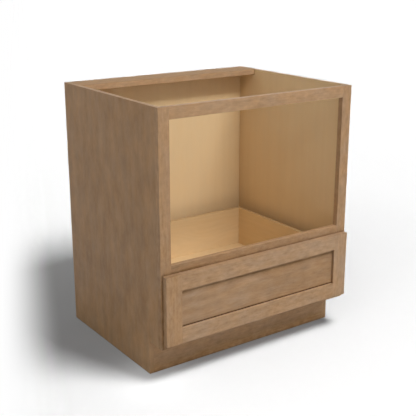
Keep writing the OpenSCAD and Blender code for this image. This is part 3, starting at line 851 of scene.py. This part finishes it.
# Painted shade round the panel, a painted shadow under the top rail, and painted light and shade on edges
low_offs, panel_low_painted_shade = (0.0, 0.006), (1.9, 0.0)
side_offs, panel_side_painted_shade = (0.0, 0.003), (0.6, 0.0)
top_offs, panel_top_painted_shadow = (0.0, 0.006, 0.011, 0.016, 0.021, 0.03), (0.0, 0.0, 0.75, 0.42, 0.2, 0.0)
ledge_painted_light = 0.9
top_face_painted_light = (0.0, 0.55)
edge_painted_shade, edge_width = 0.25, 0.004
sight_depths, sight_painted_shading = (0.0, 0.003, 0.0098), (0.3, -0.3, -0.7)

panel_veneer = maple("stained_panel_veneer", stain_dark, stain_light, stain_grey, stain_red,
                     {"Length": 0.070, "Width": 0.035, "Mottle": 1.25, "Streaks": 0.5, "Rings": 0.08,
                      "Flecks": 0.7}, hue=2.1, roughness=0.46, pores=0.12)

stile_low, stile_high = box("front_right_stile")
sight_x, front_y, back_y = stile_low[0], stile_low[1], stile_high[1]
sight_low, sight_high = box("front_bottom_rail")[1][2], box("front_top_rail")[0][2]


def front_edges(points, normals):
    """Painted light and shade on the frame's edges. The top has painted light growing towards its back, the
    outer sides painted shade near their backs, and the ledge under the panel painted light. The stiles'
    inner edges have painted light at the front turning to painted shade towards the panel."""
    back = (points[:, 1] - front_y) / (back_y - front_y)
    top = looks_up(points, normals) * (points[:, 2] > sight_high)
    ledge = looks_up(points, normals) * (points[:, 2] < sight_high) * (np.abs(points[:, 0]) < sight_x)
    back_edge_shade = (np.abs(normals[:, 0]) > 0.5) * np.clip(1 - (back_y - points[:, 1]) / edge_width, 0, 1)
    sight = normals[:, 0] * np.sign(points[:, 0]) < -0.5
    return (top * np.interp(back, (0, 1), top_face_painted_light) + ledge * ledge_painted_light - back_edge_shade * edge_painted_shade
            + sight * np.interp(points[:, 1] - front_y, sight_depths, sight_painted_shading))


def panel_painted_shading(points, normals):
    """Painted shade round the edge of the panel's face, where it meets the frame. The deepest of three
    counts:
    one along the bottom, one at the sides, and a wider painted shadow of the top rail along the top, each
    with its depths at some distances."""
    return -np.max([np.interp(points[:, 2] - sight_low, low_offs, panel_low_painted_shade),
                    np.interp(sight_x - np.abs(points[:, 0]), side_offs, panel_side_painted_shade),
                    np.interp(sight_high - points[:, 2], top_offs, panel_top_painted_shadow)], 0)


front_cuts = [(1, back_y - edge_width), (1, front_y + sight_depths[1])]
for part, axes, (tone, slope), (hue, hue_slope) in (
        ("left_stile", "ZXY", (0.0, 0.0), (0.0, 0.0)),
        ("right_stile", "ZXY", (0.18, 0.06), (-0.45, -0.12)),
        ("top_rail", "XZY", (0.12, 0.07), (-0.3, -0.2)),
        ("bottom_rail", "XZY", (0.08, -0.04), (-0.28, 0.2))):
    wooden("front_" + part, axes, front_ease, "stained_maple", (frame_maple,), tone=tone, slope=slope,
           hue=hue, hue_slope=hue_slope, shade=front_edges, cuts=front_cuts)
panel_cuts = [(0, sign * (sight_x - off)) for sign in (-1, 1) for off in side_offs]
panel_cuts += [(2, sight_low + off) for off in low_offs] + [(2, sight_high - off) for off in top_offs]
wooden("front_panel", "XZY", front_ease, "stained_maple", (panel_veneer,), tone=-0.06, slope=-0.06,
       hue=-0.15, hue_slope=0.25, veneer=True, end_grain=0.0, shade=panel_painted_shading, cuts=panel_cuts)


# ---- Drawer front screws ----
# Four of the same flat-head steel screws hold the front to the drawer box. They are driven from inside
# the box, near its corners.

front_screw_low, front_screw_high = box("front_screws")
front_screw_length = front_screw_high[1] - front_screw_low[1]
heads, towards = [], []
for x in (front_screw_low[0] + head_radius, front_screw_high[0] - head_radius):
    for z in (front_screw_low[2] + head_radius, front_screw_high[2] - head_radius):
        heads.append((x, front_screw_high[1], z))
        towards.append((1, -1))
screws("front_screws", front_screw_length, heads, towards)


# ---- Bumpers ----
# Pads of clear soft rubber, stuck to the back of the drawer front at its corners. They are domed where
# they touch the frame.

bumper_low, bumper_high = box("bumpers")
pad_height = bumper_high[1] - bumper_low[1]
pad_radius, pad_flat = 0.00475, 0.25
pad_wall, pad_power = 0.35, 0.6
pad_rows, pad_sides = 7, 32

clear_rubber = plain_material("clear_soft_rubber", {"Base Color": (0.86, 0.86, 0.84, 1), "Roughness": 0.22,
                                                    "Transmission Weight": 0.6, "IOR": 1.48})


def pad_grid():
    """One pad: a flat back, a wall, and a dome. As the dome's angle goes from 0 to a quarter turn, its
    height grows from the wall's with the sine, and its radius shrinks to the flat top's with a power of
    the cosine."""
    dome = np.linspace(0, np.pi / 2, pad_rows)[1:]
    narrowing = pad_flat + (1 - pad_flat) * np.cos(dome) ** pad_power
    rise = pad_wall + (1 - pad_wall) * np.sin(dome)
    radius = np.concatenate([[0, 1], narrowing, [0]]) * pad_radius
    height = np.concatenate([[0, 0], rise, [1]]) * pad_height
    radius, turn = np.meshgrid(radius, np.linspace(0, 2 * np.pi, pad_sides, endpoint=False), indexing="ij")
    height = np.broadcast_to(height[:, None], radius.shape)
    return np.stack([radius * np.cos(turn), height, radius * np.sin(turn)], -1)


places = np.array([(x, bumper_low[1], z) for x in (bumper_low[0] + pad_radius, bumper_high[0] - pad_radius)
                   for z in (bumper_low[2] + pad_radius, bumper_high[2] - pad_radius)])
place_piece("bumper_pads", grid_mesh("bumper_pads", places[:, None, None] + pad_grid(), clear_rubber),
            "clear_rubber", "bumpers")
